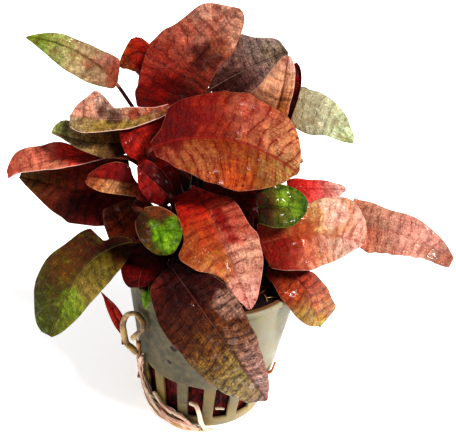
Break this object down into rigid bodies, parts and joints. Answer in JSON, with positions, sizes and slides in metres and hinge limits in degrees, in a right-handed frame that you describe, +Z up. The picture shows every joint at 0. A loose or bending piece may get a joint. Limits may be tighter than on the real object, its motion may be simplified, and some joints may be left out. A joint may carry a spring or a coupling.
{
  "type": "cryptocoryne in a net pot",
  "caption": "Leafy red and green water plant growing out of a tapered net pot with a slotted foot, with roots wrapped round the foot.",
  "frame": {"origin": "middle of the pot's flat underside", "axes": "+Z up, -Y towards the plant's front, +X to the right as seen from the front, along the longest spread of the leaves"},
  "size_m": [0.1259, 0.0745, 0.1145],
  "materials": {
    "pot_plastic": "satin",
    "medium_fibre": "matte",
    "rhizome": "matte",
    "root": "satin",
    "runner": "satin",
    "leaf_red": "satin",
    "leaf_purple": "satin",
    "leaf_green": "satin",
    "leaf_pale": "satin"
  },
  "bodies": {
    "root": {"net_pot": "pot_plastic", "growing_medium": "medium_fibre", "rhizome": "rhizome", "leaf_far_left_slender": "leaf_pale", "leaf_back_left_scarlet": "leaf_red", "leaf_back_tall": "leaf_red", "leaf_back_purple": "leaf_purple", "leaf_back_right_folded": "leaf_red", "leaf_back_right_sliver": "leaf_purple", "leaf_back_right_pale": "leaf_pale", "leaf_back_low_left": "leaf_purple", "leaf_back_low_right": "leaf_red", "leaf_back_drooping": "leaf_red", "leaf_back_right_drooping": "leaf_purple", "leaf_left_trough": "leaf_red", "leaf_left_olive": "leaf_green", "leaf_left_pink": "leaf_red", "leaf_left_dark": "leaf_purple", "leaf_left_inner": "leaf_purple", "leaf_left_low": "leaf_purple", "leaf_left_amber": "leaf_red", "leaf_left_shaded": "leaf_purple", "leaf_front_left_green": "leaf_green", "leaf_top_broad": "leaf_red", "leaf_middle_curled": "leaf_red", "leaf_inner_middle": "leaf_purple", "leaf_front_small_round": "leaf_green", "leaf_front_red": "leaf_red", "leaf_front_hanging": "leaf_red", "leaf_rim_seedling": "leaf_green", "leaf_right_small_green": "leaf_green", "leaf_right_broad": "leaf_red", "leaf_right_back_pink": "leaf_red", "leaf_far_right": "leaf_red", "leaf_front_right_amber": "leaf_red", "runner": "runner", "runner_leaf": "leaf_red", "root_left_outer": "root", "root_left_inner": "root", "root_left_back": "root", "root_front_curled": "root", "root_front_short": "root", "root_front_foot": "root", "root_right_tip": "root", "root_back": "root"}
  },
  "joints": []
}
